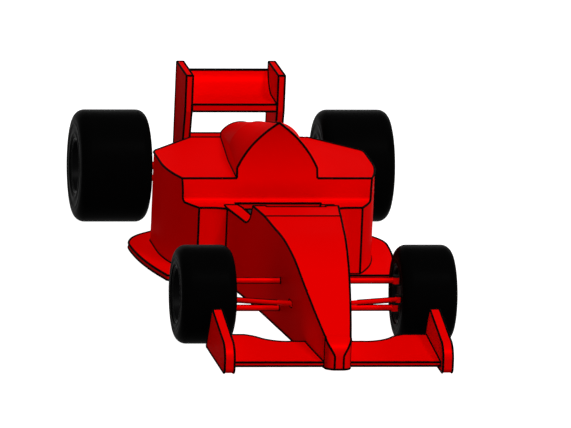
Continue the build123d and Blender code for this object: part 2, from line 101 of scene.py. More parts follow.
# Fine ripple of sprayed paint, moulded plastic or cast metal, as a normal and a soft mask
def makeSurfaceGroup():
    group, start, end = newGroup(
        "surfaceGrain",
        [("Scale", "NodeSocketFloat", 200.0), ("Depth", "NodeSocketFloat", 0.0004),
         ("Patches", "NodeSocketFloat", 3.0)],
        [("Mask", "NodeSocketFloat"), ("Normal", "NodeSocketVector")])
    where = addNode(group, "ShaderNodeTexCoord")
    fine = addNode(group, "ShaderNodeTexNoise")
    fine.inputs["Detail"].default_value = 3.0
    broad = addNode(group, "ShaderNodeTexNoise")
    broad.inputs["Detail"].default_value = 4.0
    for noise, label in ((fine, "Scale"), (broad, "Patches")):
        link(group, where.outputs["Object"], noise.inputs["Vector"])
        link(group, start.outputs[label], noise.inputs["Scale"])
    bump = addNode(group, "ShaderNodeBump")
    bump.inputs["Strength"].default_value = 1.0
    link(group, fine.outputs[0], bump.inputs["Height"])
    link(group, start.outputs["Depth"], bump.inputs["Distance"])
    link(group, broad.outputs[0], end.inputs["Mask"])
    link(group, bump.outputs["Normal"], end.inputs["Normal"])
    return group


# Dust that settles low down and in patches
def makeDustGroup():
    group, start, end = newGroup(
        "lowDust",
        [("Top", "NodeSocketFloat", 0.2), ("Amount", "NodeSocketFloat", 0.1),
         ("Scale", "NodeSocketFloat", 14.0)],
        [("Mask", "NodeSocketFloat")])
    where = addNode(group, "ShaderNodeTexCoord")
    split = addNode(group, "ShaderNodeSeparateXYZ")
    link(group, where.outputs["Object"], split.inputs[0])
    noise = addNode(group, "ShaderNodeTexNoise")
    noise.inputs["Detail"].default_value = 5.0
    link(group, where.outputs["Object"], noise.inputs["Vector"])
    link(group, start.outputs["Scale"], noise.inputs["Scale"])
    low = mathNode(group, "SUBTRACT", start.outputs["Top"], split.outputs["Z"])
    share = mathNode(group, "DIVIDE", low, start.outputs["Top"], clamp=True)
    patchy = mathNode(group, "MULTIPLY", share, noise.outputs[0])
    link(group, mathNode(group, "MULTIPLY", patchy, start.outputs["Amount"]), end.inputs["Mask"])
    return group


# Threads over and under, as a height for fabrics
def makeWeaveGroup():
    group, start, end = newGroup("threads", [("Count", "NodeSocketFloat", 500.0)],
                                 [("Height", "NodeSocketFloat")])
    where = addNode(group, "ShaderNodeTexCoord")
    split = addNode(group, "ShaderNodeSeparateXYZ")
    link(group, where.outputs["Object"], split.inputs[0])
    lengthwise = mathNode(group, "ADD", split.outputs["Y"], split.outputs["Z"])
    waves = []
    for way in (split.outputs["X"], lengthwise):
        turn = mathNode(group, "MULTIPLY", way, start.outputs["Count"])
        waves.append(mathNode(group, "SINE", mathNode(group, "MULTIPLY", turn, math.tau)))
    link(group, mathNode(group, "MULTIPLY", waves[0], waves[1]), end.inputs["Height"])
    return group


surfaceGroup = makeSurfaceGroup()
dustGroup = makeDustGroup()
weaveGroup = makeWeaveGroup()
weaveDepth = 0.0004


# One finish: colour with slight patches, grain in the normal and low dust
def makeFinish(name, finish):
    material = bpy.data.materials.new(name)
    material.use_nodes = True
    tree = material.node_tree
    shader = tree.nodes["Principled BSDF"]
    for socket in ("Metallic", "Specular IOR Level", "Specular Tint", "Sheen Weight"):
        if socket in finish:
            shader.inputs[socket].default_value = finish[socket]
    surface = useGroup(tree, surfaceGroup, Scale=finish["grain"], Depth=finish["depth"],
                       Patches=finish["patches"])
    normal = surface.outputs["Normal"]
    if "weave" in finish:
        weave = useGroup(tree, weaveGroup, Count=finish["weave"])
        bump = addNode(tree, "ShaderNodeBump")
        bump.inputs["Distance"].default_value = weaveDepth
        link(tree, weave.outputs["Height"], bump.inputs["Height"])
        link(tree, normal, bump.inputs["Normal"])
        normal = bump.outputs["Normal"]
    link(tree, normal, shader.inputs["Normal"])
    tint = addNode(tree, "ShaderNodeMix", data_type="RGBA")
    tint.inputs["A"].default_value = (*finish["colour"], 1)
    tint.inputs["B"].default_value = (*finish["second"], 1)
    link(tree, surface.outputs["Mask"], tint.inputs["Factor"])
    dusty = addNode(tree, "ShaderNodeMix", data_type="RGBA")
    dust = useGroup(tree, dustGroup, Top=finish["dustTop"], Amount=finish["dust"])
    link(tree, dust.outputs["Mask"], dusty.inputs["Factor"])
    link(tree, tint.outputs["Result"], dusty.inputs["A"])
    dusty.inputs["B"].default_value = (*finish["dustColour"], 1)
    link(tree, dusty.outputs["Result"], shader.inputs["Base Color"])
    rough = mathNode(tree, "MULTIPLY_ADD", surface.outputs["Mask"], finish["roughSpread"])
    rough.node.inputs[2].default_value = finish["rough"]
    link(tree, rough, shader.inputs["Roughness"])
    return material


plainDust = {"dust": 0.10, "dustTop": 0.12, "dustColour": (0.20, 0.17, 0.14)}
redFlake = {"Metallic": 0.04, "Specular IOR Level": 0.0001, "Specular Tint": (1.0, 0.0, 0.0, 1.0)}
finishes = {
    "body_red": {"colour": (0.80, 0.0, 0.0), "second": (0.79, 0.0, 0.0), "rough": 0.36,
                 "roughSpread": 0.04, "grain": 260.0, "depth": 0.00003, "patches": 2.2,
                 **redFlake, **plainDust, "dust": 0.0},
    "rod_red": {"colour": (0.80, 0.0, 0.0), "second": (0.78, 0.0, 0.0), "rough": 0.24,
                "roughSpread": 0.06, "grain": 400.0, "depth": 0.00003, "patches": 6.0,
                **redFlake, "Specular IOR Level": 0.01, **plainDust, "dust": 0.0},
    "floor_red": {"colour": (0.80, 0.0, 0.0), "second": (0.78, 0.0, 0.0), "rough": 0.34,
                  "roughSpread": 0.06, "grain": 260.0, "depth": 0.00003, "patches": 3.0,
                  **redFlake, **plainDust, "dust": 0.02},
    "step_black": {"colour": (0.010, 0.010, 0.011), "second": (0.020, 0.019, 0.018), "rough": 0.55,
                   "roughSpread": 0.15, "grain": 500.0, "depth": 0.0002, "patches": 9.0,
                   "Specular IOR Level": 0.2, **plainDust, "dust": 0.2},
    "tyre_black": {"colour": (0.0008, 0.0008, 0.0008), "second": (0.0014, 0.0014, 0.0014), "rough": 0.34,
                   "roughSpread": 0.08, "grain": 900.0, "depth": 0.00012, "patches": 5.0,
                   "Specular IOR Level": 0.0012, **plainDust, "dust": 0.0},
    "rim_black": {"colour": (0.0030, 0.0030, 0.0032), "second": (0.0044, 0.0044, 0.0044), "rough": 0.38,
                  "roughSpread": 0.1, "grain": 350.0, "depth": 0.00008, "patches": 8.0,
                  "Specular IOR Level": 0.02, **plainDust, "dust": 0.0},
    "upright_black": {"colour": (0.005, 0.005, 0.005), "second": (0.008, 0.008, 0.007), "rough": 0.6,
                      "roughSpread": 0.15, "grain": 260.0, "depth": 0.0003, "patches": 12.0,
                      "Specular IOR Level": 0.04, **plainDust, "dust": 0.02},
    "gearbox_metal": {"colour": (0.130, 0.130, 0.134), "second": (0.095, 0.092, 0.090), "rough": 0.42,
                      "roughSpread": 0.2, "grain": 320.0, "depth": 0.0004, "patches": 9.0,
                      "Metallic": 0.75, "Specular IOR Level": 0.4, **plainDust, "dust": 0.3},
    "engine_metal": {"colour": (0.200, 0.200, 0.205), "second": (0.150, 0.146, 0.142), "rough": 0.38,
                     "roughSpread": 0.2, "grain": 320.0, "depth": 0.0003, "patches": 9.0,
                     "Metallic": 0.8, "Specular IOR Level": 0.4, **plainDust},
    "steel": {"colour": (0.45, 0.45, 0.46), "second": (0.36, 0.355, 0.35), "rough": 0.28,
              "roughSpread": 0.12, "grain": 700.0, "depth": 0.00006, "patches": 14.0,
              "Metallic": 1.0, "Specular IOR Level": 0.5, **plainDust},
    "seat_black": {"colour": (0.012, 0.012, 0.013), "second": (0.020, 0.019, 0.018), "rough": 0.7,
                   "roughSpread": 0.1, "grain": 420.0, "depth": 0.0003, "patches": 10.0,
                   "Specular IOR Level": 0.06, "Sheen Weight": 0.04, **plainDust},
    "dash_black": {"colour": (0.006, 0.006, 0.006), "second": (0.010, 0.010, 0.010), "rough": 0.45,
                   "roughSpread": 0.1, "grain": 500.0, "depth": 0.00015, "patches": 8.0,
                   "Specular IOR Level": 0.05, **plainDust},
    "grip_black": {"colour": (0.016, 0.016, 0.016), "second": (0.028, 0.027, 0.026), "rough": 0.8,
                   "roughSpread": 0.1, "grain": 1100.0, "depth": 0.0003, "patches": 20.0,
                   "Specular IOR Level": 0.08, "Sheen Weight": 0.05, **plainDust},
    "lens_red": {"colour": (0.42, 0.006, 0.004), "second": (0.30, 0.004, 0.003), "rough": 0.12,
                 "roughSpread": 0.05, "grain": 300.0, "depth": 0.00002, "patches": 12.0,
                 "Specular IOR Level": 0.5, **plainDust, "dust": 0.02},
    "mark_white": {"colour": (0.75, 0.74, 0.72), "second": (0.66, 0.65, 0.62), "rough": 0.5,
                   "roughSpread": 0.1, "grain": 500.0, "depth": 0.00002, "patches": 20.0,
                   "Specular IOR Level": 0.3, **plainDust, "dust": 0.02},
    "pad_fabric": {"colour": (0.024, 0.024, 0.026), "second": (0.036, 0.035, 0.034), "rough": 0.82,
                   "roughSpread": 0.1, "grain": 900.0, "depth": 0.0005, "patches": 14.0,
                   "Specular IOR Level": 0.10, "Sheen Weight": 0.06, **plainDust, "weave": 520.0},
    "webbing": {"colour": (0.30, 0.006, 0.006), "second": (0.24, 0.006, 0.006), "rough": 0.7,
                "roughSpread": 0.1, "grain": 700.0, "depth": 0.0003, "patches": 18.0,
                "Specular IOR Level": 0.10, "Sheen Weight": 0.05, **plainDust, "weave": 900.0},
    "edge_black": {"colour": (0.0012, 0.0010, 0.0010), "second": (0.0022, 0.0020, 0.0020), "rough": 0.7,
                   "roughSpread": 0.1, "grain": 900.0, "depth": 0.00004, "patches": 20.0,
                   "Specular IOR Level": 0.002, **plainDust, "dust": 0.0},
}
materials = {name: makeFinish(name, finish) for name, finish in finishes.items()}
for subpart in frame["record"]["subparts"]:
    mesh = nodes[subpart["node"]].data
    for index in range(len(mesh.materials)):
        mesh.materials[index] = materials[subpart["material_slot"]]
print("finishes made:", len(materials))


# Turning bmesh work into a piece that rides on its body
def makePiece(name, bm, body, slotName, smooth=True, materialName=None):
    bmesh.ops.recalc_face_normals(bm, faces=bm.faces)
    mesh = bpy.data.meshes.new(name)
    bm.to_mesh(mesh)
    bm.free()
    mesh.materials.append(materials[materialName or slotName])
    if smooth:
        mesh.shade_smooth()
    piece = bpy.data.objects.new(name, mesh)
    bpy.context.collection.objects.link(piece)
    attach(piece, body)
    return piece


# Slick tyres, turned from one section
mergeGap = 0.00002                      # points closer than this are one
tyreSettings = {"beadRadius": 0.168, "beadInset": 0.010, "beadLip": (0.0035, 0.174), "shoulder": 0.062,
                "shoulderSteps": 9, "ribs": ((0.24, 0.0022), (0.78, 0.0022)), "ribHalf": 0.0035,
                "treadShares": (0.35, 0.5, 0.65), "turns": 128}


def tyreSection(width, radius):
    s = tyreSettings
    corner = radius - s["shoulder"]
    wall = [(s["beadInset"], s["beadRadius"]), s["beadLip"]]
    for share, height in s["ribs"]:
        r = s["beadRadius"] + share * (corner - s["beadRadius"])
        wall += [(height, r - 2 * s["ribHalf"]), (0.0, r - s["ribHalf"]), (0.0, r + s["ribHalf"]),
                 (height, r + 2 * s["ribHalf"])]
    for step in range(s["shoulderSteps"] + 1):
        turn = math.pi / 2 * step / s["shoulderSteps"]
        wall.append((s["shoulder"] * (1 - math.cos(turn)), corner + s["shoulder"] * math.sin(turn)))
    tread = [(width * share, radius) for share in s["treadShares"]]
    return wall + tread + [(width - x, r) for x, r in reversed(wall)]


def makeTyre(nodeName):
    low, high = (Vector(corner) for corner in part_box(nodeName))
    centre = (low + high) / 2
    section = tyreSection(high.x - low.x, (high.z - low.z) / 2)
    bm = bmesh.new()
    ring = [bm.verts.new((low.x + x, centre.y, centre.z + r)) for x, r in section]
    edges = [bm.edges.new(pair) for pair in zip(ring, ring[1:] + ring[:1])]
    bmesh.ops.spin(bm, geom=ring + edges, cent=centre, axis=(1, 0, 0), angle=2 * math.pi,
                   steps=tyreSettings["turns"], use_merge=True, use_duplicate=False)
    bmesh.ops.remove_doubles(bm, verts=bm.verts, dist=mergeGap)
    piece = makePiece(nodeName.replace("_tyre", "Slick"), bm, bodyOf[nodeName], "tyre_black")
    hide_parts(nodeName)
    return piece


tyres = [makeTyre(f"{end}_tyre_{side}") for end in ("front", "rear") for side in sides]
print("tyres turned:", len(tyres))


# Black beads laid along the panels' sharp edges. Seams between flush panels get none, apart from
# the scuttle's seam and the lower part of the side bodies' seam
beadSettings = {
    "radius": 0.0070, "sunk": 0.0016, "tubeSides": 6, "merge": 0.00005,
    "sharp": math.radians(24), "finer": {"nose_cone": math.radians(12)},
    "near": 0.0012, "lengthwise": 0.8, "upright": 0.99,
    "splitX": 0.3278, "splitY": frontAxleY - 0.3543,    # seams of the side bodies and the nose
    "scuttleY": frontAxleY + 0.4463, "scuttleLow": 0.60, "coveZ": 0.54, "deckZ": 0.66,
    "slotRadius": 0.0034,               # thinner round the track rods' slots, clear of the rods
    "slot": ((0.125, 0.175), (frontAxleY - 0.230, frontAxleY - 0.130), (0.25, 0.30)),
}
beadNodes = ["nose_cone", "monocoque", "side_body_left", "side_body_right", "engine_cover",
             "floor_plate", "front_wing", "front_wing_end_plate_left", "front_wing_end_plate_right",
             "rear_wing", "rear_wing_end_plate_left", "rear_wing_end_plate_right", "lower_rear_wing"]


def beadEdge(edge, nodeName):
    s = beadSettings
    first, second = (vert.co for vert in edge.verts)

    def bothNear(axis, value):
        return all(abs(abs(co[axis]) - abs(value)) < s["near"] for co in (first, second))
    if nodeName in ("nose_cone", "monocoque") and bothNear(1, s["splitY"]):
        return False
    along = (second - first).normalized()
    if nodeName == "engine_cover" and abs(along.y) > s["lengthwise"] and first.z > s["deckZ"]:
        return bothNear(0, 0.0)
    if nodeName in ("engine_cover", "side_body_left", "side_body_right") and bothNear(0, s["splitX"]):
        return nodeName != "engine_cover" and abs(along.z) > s["upright"] and first.z < s["coveZ"]
    if nodeName == "monocoque" and bothNear(1, s["scuttleY"]) and first.z > s["scuttleLow"]:
        return True
    return len(edge.link_faces) == 2 and edge.calc_face_angle(0) > s["finer"].get(nodeName, s["sharp"])


# Turns a wire of edges into a thin round tube
def makeTubeGroup(name, radius):
    group = bpy.data.node_groups.new(name, "GeometryNodeTree")
    for way in ("INPUT", "OUTPUT"):
        group.interface.new_socket(name="Geometry", in_out=way, socket_type="NodeSocketGeometry")
    start, end = addNode(group, "NodeGroupInput"), addNode(group, "NodeGroupOutput")
    chain = addNode(group, "GeometryNodeMeshToCurve")
    ring = addNode(group, "GeometryNodeCurvePrimitiveCircle")
    ring.inputs["Resolution"].default_value = beadSettings["tubeSides"]
    ring.inputs["Radius"].default_value = radius
    tube = addNode(group, "GeometryNodeCurveToMesh")
    tube.inputs["Fill Caps"].default_value = True
    link(group, start.outputs[0], chain.inputs["Mesh"])
    link(group, chain.outputs[0], tube.inputs["Curve"])
    link(group, ring.outputs[0], tube.inputs["Profile Curve"])
    link(group, tube.outputs[0], end.inputs[0])
    return group


tubeGroup = makeTubeGroup("edgeTube", beadSettings["radius"])
slotGroup = makeTubeGroup("slotTube", beadSettings["slotRadius"])


def atSlot(edge):
    (lowX, highX), (lowY, highY), (lowZ, highZ) = beadSettings["slot"]
    return all(lowX < abs(vert.co.x) < highX and lowY < vert.co.y < highY and lowZ < vert.co.z < highZ
               for vert in edge.verts)


def makeBeads(nodeName, slots=False):
    bm = bmesh.new()
    bm.from_mesh(nodes[nodeName].data)
    bmesh.ops.remove_doubles(bm, verts=bm.verts, dist=beadSettings["merge"])
    bm.normal_update()
    kept = {edge for edge in bm.edges if beadEdge(edge, nodeName) and atSlot(edge) == slots}
    sunk = [(vert, vert.co - vert.normal * beadSettings["sunk"]) for vert in bm.verts]
    for vert, place in sunk:
        vert.co = place
    bmesh.ops.delete(bm, geom=[edge for edge in bm.edges if edge not in kept], context="EDGES_FACES")
    bmesh.ops.delete(bm, geom=list(bm.faces), context="FACES_ONLY")
    bmesh.ops.delete(bm, geom=[vert for vert in bm.verts if not vert.link_edges], context="VERTS")
    mesh = bpy.data.meshes.new("wire")
    bm.to_mesh(mesh)
    bm.free()
    wire = bpy.data.objects.new("wire", mesh)
    bpy.context.collection.objects.link(wire)
    tube = wire.modifiers.new("tube", "NODES")
    tube.node_group = slotGroup if slots else tubeGroup
    solid = bpy.data.meshes.new_from_object(wire.evaluated_get(bpy.context.evaluated_depsgraph_get()))
    bpy.data.objects.remove(wire)
    solid.materials.clear()
    solid.materials.append(materials["edge_black"])
    piece = bpy.data.objects.new(("slotLine_" if slots else "edgeLine_") + nodeName, solid)
    bpy.context.collection.objects.link(piece)
    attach(piece, bodyOf[nodeName])
    return piece


beads = [makeBeads(nodeName) for nodeName in beadNodes] + [makeBeads("monocoque", slots=True)]
print("edge beads:", len(beads), sum(len(bead.data.polygons) for bead in beads))


# Shapes shared by the small pieces: a section turned about axis, from points of height and radius,
# and a block with eased edges
def turnSection(bm, section, at, axis, steps=32):
    old = set(bm.verts)
    ring = [bm.verts.new((x, 0, r)) for x, r in section]
    edges = [bm.edges.new(pair) for pair in zip(ring, ring[1:])]
    bmesh.ops.spin(bm, geom=ring + edges, cent=(0, 0, 0), axis=(1, 0, 0), angle=2 * math.pi,
                   steps=steps, use_merge=True, use_duplicate=False)
    bmesh.ops.remove_doubles(bm, verts=[vert for vert in bm.verts if vert not in old], dist=mergeGap)
    made = [vert for vert in bm.verts if vert not in old]
    turn = Vector((1, 0, 0)).rotation_difference(Vector(axis)).to_matrix().to_4x4()
    bmesh.ops.transform(bm, matrix=Matrix.Translation(at) @ turn, verts=made)


def easedBlock(bm, size, at, turn=Matrix(), ease=0.002, segments=2):
    made = bmesh.ops.create_cube(bm, size=1.0)["verts"]
    bmesh.ops.scale(bm, vec=size, verts=made)
    edges = {edge for vert in made for edge in vert.link_edges}
    bevelled = bmesh.ops.bevel(bm, geom=list(edges), offset=ease, offset_type="OFFSET", affect="EDGES",
                               segments=segments, profile=0.5, material=-1)
    made = {vert for vert in made if vert.is_valid} | set(bevelled["verts"])
    bmesh.ops.transform(bm, matrix=Matrix.Translation(at) @ turn, verts=list(made))


# A bolt head with a washer and a socket, standing on its face along axis, in radii of the head
boltShares = [(0.0, 0.0), (0.0, 1.35), (0.16, 1.35), (0.22, 1.25), (0.22, 1.0), (0.62, 1.0), (0.80, 0.82),
              (0.80, 0.48), (0.45, 0.42), (0.45, 0.0)]


def addBolts(bm, places, axis, radius):
    section = [(x * radius, r * radius) for x, r in boltShares]
    for place in places:
        turnSection(bm, section, place, axis, steps=12)


# Wheel trim on each wheel: lips, spoke ring with bolts, locking cap on the nut, valve and weights
wheelSettings = {
    "dish": 0.62, "dishThick": 0.026,   # the wheel's disc: its place across the tyre and its thickness
    "lipRadius": 0.1665, "lipHalf": 0.0040, "lipInset": 0.012, "lipCrown": 0.6, "lipFoot": 1.5,
    "ring": [(0, 0.0495), (0.005, 0.0495), (0.005, 0.058), (0.003, 0.060), (0, 0.060)],
    "ringHigh": 0.005, "bolts": 9, "boltRing": 0.0550, "boltRadius": 0.0034, "nutHigh": 0.026,
    "cap": [(0, 0.012), (0.010, 0.012), (0.010, 0.022), (0.006, 0.026), (0, 0.026)],
    "pin": [(0, 0), (0, 0.007), (0.013, 0.007), (0.016, 0.004), (0.016, 0)],
    "valve": [(0, 0), (0, 0.005), (0.006, 0.005), (0.008, 0.0032), (0.026, 0.0032), (0.026, 0.0042),
              (0.034, 0.0042), (0.034, 0)],
    "valveRing": 0.1480, "valveLean": -0.25,
    "weights": 5, "weightRing": 0.1525, "weightProud": 0.030, "weightStart": 200, "weightStep": 5.5,
    "weightSize": (0.018, 0.012, 0.0035), "weightEase": 0.0008,
}


def wheelOf(nodeName):
    low, high = (Vector(corner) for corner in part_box(nodeName))
    side = 1 if low.x + high.x > 0 else -1
    inner = min(abs(low.x), abs(high.x))
    return side, inner, high.x - low.x, (low + high) / 2


def makeWheelTrim(tyreName):
    s = wheelSettings
    side, inner, width, middle = wheelOf(tyreName)
    face = Vector((side * (inner + s["dish"] * width + s["dishThick"]), middle.y, middle.z))
    out = Vector((side, 0, 0))

    def onFace(radius, turn, proud):
        return face + Vector((side * proud, radius * math.cos(turn), radius * math.sin(turn)))
    half, radius = s["lipHalf"], s["lipRadius"]
    lip = [(-half, radius - half), (-half, radius), (0, radius + half * s["lipCrown"]), (half, radius),
           (half, radius - half), (0, radius - half * s["lipFoot"]), (-half, radius - half)]
    lips = bmesh.new()
    for edgeX in (inner + s["lipInset"], inner + width - s["lipInset"]):
        turnSection(lips, lip, (side * edgeX, middle.y, middle.z), (1, 0, 0), steps=96)
    turnSection(lips, s["ring"], face, out, steps=72)
    makePiece("rimLip_" + tyreName, lips, bodyOf[tyreName], "rim_black")
    metal = bmesh.new()
    turns = [2 * math.pi * (index + 0.5) / s["bolts"] for index in range(s["bolts"])]
    addBolts(metal, [onFace(s["boltRing"], turn, s["ringHigh"]) for turn in turns], out, s["boltRadius"])
    top = face + out * s["nutHigh"]
    turnSection(metal, s["cap"], top, out, steps=36)
    turnSection(metal, s["pin"], top, out, steps=18)
    turnSection(metal, s["valve"], face + Vector((0, 0, s["valveRing"])), (side, 0, s["valveLean"]),
                steps=12)
    for index in range(s["weights"]):
        turn = math.radians(s["weightStart"] + s["weightStep"] * index)
        easedBlock(metal, s["weightSize"], onFace(s["weightRing"], turn, s["weightProud"]),
                   Matrix.Rotation(turn - math.pi / 2, 4, "X"), s["weightEase"], 1)
    makePiece("wheelMetal_" + tyreName, metal, bodyOf[tyreName], "rim_black", materialName="steel")


for end in ("front", "rear"):
    for side in sides:
        makeWheelTrim(f"{end}_tyre_{side}")
print("wheel trim made")


# Rods: dark seams along them and a collar where a fixed rod enters the body
rodSettings = {
    "seam": 0.0046, "sink": 0.0010, "lean": 0.24, "rodRadius": 0.016, "trackRadius": 0.014,
    "collar": 0.0042, "collarLong": 0.006, "collarSink": 0.001, "collarEase": 0.002,
    "front": (0.186, 0.472), "rear": (0.122, 0.548),    # x where a rod leaves the body and ends
    "eyeHalf": {"front": 0.018, "rear": 0.016},
    "track": ((0.236, -1.3315, 0.2754), (0.474, -1.2407, 0.2695)),
}


def makeRodSeams(nodeName, lines, radius):
    s = rodSettings
    high, inside, length = radius + s["collar"], radius - s["collarSink"], s["collarLong"]
    collar = [(0, inside), (0, high), (length - s["collarEase"], high), (length, high - s["collarEase"]),
              (length, inside)]
    bm = bmesh.new()
    for start, end in lines:
        along = (end - start).normalized()
        lean = Vector((0, s["lean"], 1))
        lean = (lean - along * lean.dot(along)).normalized()
        seamLong = (end - start).length
        seam = [(0, 0), (0, s["seam"]), (seamLong, s["seam"]), (seamLong, 0)]
        for way in (1, -1):
            turnSection(bm, seam, start + lean * way * (radius - s["sink"]), along, steps=8)
        if "track" not in nodeName:
            turnSection(bm, collar, start, along, steps=32)
    makePiece("rodSeam_" + nodeName, bm, bodyOf[nodeName], "rod_red", materialName="edge_black")


def rodLines(kind, side):
    s = rodSettings
    low, high = (Vector(corner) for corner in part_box(f"{kind}_rods_{side}"))
    nearX, farX = (sides[side] * x for x in s[kind])
    y = (low.y + high.y) / 2
    half = s["eyeHalf"][kind]
    return [(Vector((nearX, y, z)), Vector((farX, y, z))) for z in (low.z + half, high.z - half)]


for side, sign in sides.items():
    for kind in ("front", "rear"):
        makeRodSeams(f"{kind}_rods_{side}", rodLines(kind, side), rodSettings["rodRadius"])
    trackLine = [Vector((sign * x, y, z)) for x, y, z in rodSettings["track"]]
    makeRodSeams(f"track_rod_{side}", [trackLine], rodSettings["trackRadius"])
print("rod seams made")


# Pleated boots at both ends of each driveshaft
bootSettings = {
    "wide": ((0.140, 0.048, 1), (0.545, 0.044, -1)),    # wide end's x and radius, way to the narrow end
    "narrow": 0.0205, "long": 0.075, "collar": 0.008, "firstPleat": 0.010, "plainEnds": 0.018,
    "pleats": 5, "pleatDeep": 0.006, "crestShare": 0.10, "rootShare": 0.30,
    "clampLong": 0.006, "clampHigh": 0.003,
}


def bootSection(wide):
    s = bootSettings
    narrow, length = s["narrow"], s["long"]
    pleated = length - s["plainEnds"]
    step = pleated / s["pleats"]
    section = [(0, narrow), (0, wide), (s["collar"], wide)]
    for index in range(s["pleats"]):
        share = (index + 0.5) / s["pleats"]
        crest = wide + (narrow + s["pleatDeep"] - wide) * share
        root = crest - s["pleatDeep"]
        x = s["firstPleat"] + pleated * share
        section += [(x - step * s["rootShare"], root), (x - step * s["crestShare"], crest),
                    (x + step * s["crestShare"], crest), (x + step * s["rootShare"], root)]
    clamp = narrow + s["clampHigh"]
    return section + [(length - s["clampLong"], clamp), (length, clamp), (length, narrow)]


def makeDriveBoots(side):
    low, high = (Vector(corner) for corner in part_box(f"driveshaft_{side}"))
    middle = (low + high) / 2
    bm = bmesh.new()
    for x, wide, way in bootSettings["wide"]:
        turnSection(bm, bootSection(wide), (sides[side] * x, middle.y, middle.z), (sides[side] * way, 0, 0),
                    steps=48)
    makePiece("driveBoots_" + side, bm, bodyOf[f"driveshaft_{side}"], "steel", materialName="grip_black")


# Gearbox: cooling fins, flange to the engine, fillers, bolts and a ring round the tow bore
gearboxSettings = {
    "side": 0.118, "finY": (1.150, 1.640), "finZ": (0.205, 0.245, 0.285, 0.325), "finThick": 0.006,
    "finProud": 0.011, "finEase": 0.0016,
    "flangeY": 1.134, "flangeLong": 0.026, "flangeProud": 0.006, "flangeEase": 0.003,
    "flangeSide": (0.268, 0.266), "flangeTop": (0.244, 0.4165),      # its size and the middle's height
    "filler": [(0, 0), (0, 0.021), (0.006, 0.021), (0.008, 0.017), (0.018, 0.017), (0.021, 0.014),
               (0.021, 0)],
    "fillers": ((0.045, 1.300, 0.4120), (-0.055, 1.420, 0.4080)),
    "flangeBolt": 0.0052, "sideBolts": (0.16, 0.225, 0.305, 0.37),
    "topBolts": (-0.09, -0.03, 0.03, 0.09),
    "shaftBolt": 0.0040, "shaftBolts": 6, "shaftRing": 0.044, "shaft": (0.1336, 1.797, 0.336),
    "towRing": [(-0.004, 0.0105), (0.003, 0.0105), (0.005, 0.0125), (0.005, 0.0165), (0.003, 0.0185),
                (-0.004, 0.0185)],
    "tow": (0, 2.1060, 0.336),
}


def makeGearboxTrim():
    s = gearboxSettings
    lowY, highY = s["finY"]
    bm = bmesh.new()
    flangeHigh, flangeZ = s["flangeSide"]
    for sign in (1, -1):
        for z in s["finZ"]:
            easedBlock(bm, (2 * s["finProud"], highY - lowY, s["finThick"]),
                       (sign * s["side"], (lowY + highY) / 2, z), ease=s["finEase"])
        easedBlock(bm, (2 * s["flangeProud"], s["flangeLong"], flangeHigh),
                   (sign * s["side"], s["flangeY"], flangeZ), ease=s["flangeEase"])
    flangeWide, topZ = s["flangeTop"]
    easedBlock(bm, (flangeWide, s["flangeLong"], 2 * s["flangeProud"]), (0, s["flangeY"], topZ),
               ease=s["flangeEase"])
    for place in s["fillers"]:
        turnSection(bm, s["filler"], place, (0, 0, 1), steps=24)
    makePiece("gearboxTrim", bm, "chassis", "gearbox_metal")
    bolts = bmesh.new()
    shaftX, shaftY, shaftZ = s["shaft"]
    turns = [2 * math.pi * index / s["shaftBolts"] for index in range(s["shaftBolts"])]
    ring = [(shaftY + s["shaftRing"] * math.cos(turn), shaftZ + s["shaftRing"] * math.sin(turn))
            for turn in turns]
    for sign in (1, -1):
        flangeX = sign * (s["side"] + s["flangeProud"])
        addBolts(bolts, [(flangeX, s["flangeY"], z) for z in s["sideBolts"]], (sign, 0, 0), s["flangeBolt"])
        addBolts(bolts, [(sign * shaftX, y, z) for y, z in ring], (sign, 0, 0), s["shaftBolt"])
    addBolts(bolts, [(x, s["flangeY"], topZ + s["flangeProud"]) for x in s["topBolts"]], (0, 0, 1),
             s["flangeBolt"])
    turnSection(bolts, s["towRing"], s["tow"], (0, 1, 0), steps=32)
    makePiece("gearboxBolts", bolts, "chassis", "gearbox_metal", materialName="steel")


# Rain light on the crash box: case, bracket and a lens of small squares
rainLightSettings = {
    "case": ((0.074, 0.026, 0.030), (0, 2.0920, 0.4045)), "caseEase": 0.004,        # size and middle
    "bracket": ((0.050, 0.060, 0.008), (0, 2.0660, 0.3925)), "bracketEase": 0.002,
    "lens": (0.0080, 0.004, 0.0070), "lensAt": (0, 2.1055, 0.4045), "lensEase": 0.0010,
    "columns": 7, "rows": 3, "across": 0.0090, "down": 0.0080,
}


def makeRainLight():
    s = rainLightSettings
    case = bmesh.new()
    easedBlock(case, *s["case"], ease=s["caseEase"], segments=3)
    easedBlock(case, *s["bracket"], ease=s["bracketEase"])
    makePiece("rainLightCase", case, "chassis", "step_black", materialName="dash_black")
    x, y, z = s["lensAt"]
    lens = bmesh.new()
    for row in range(s["rows"]):
        for column in range(s["columns"]):
            at = (x + (column - s["columns"] // 2) * s["across"], y, z + (row - s["rows"] // 2) * s["down"])
            easedBlock(lens, s["lens"], at, ease=s["lensEase"])
    makePiece("rainLightLens", lens, "chassis", "step_black", materialName="lens_red")


for side in sides:
    makeDriveBoots(side)
makeGearboxTrim()
makeRainLight()
print("rear end dressed")


# Screws of the wings' end plates, in rows: x of the outer face, then y and z of each screw
screwSettings = {"radius": 0.0046, "sunk": 0.0008}
screwRows = [
    (0.2990, ((1.790, 0.705), (1.900, 0.722), (2.010, 0.770), (2.080, 0.840))),
    (0.2990, ((1.905, 0.428), (1.975, 0.434), (2.060, 0.450))),
    (0.2990, ((1.990, 0.205), (2.050, 0.205), (2.090, 0.205))),
    (0.6680, ((-2.000, 0.112), (-1.860, 0.112), (-1.720, 0.112), (-1.600, 0.112))),
]


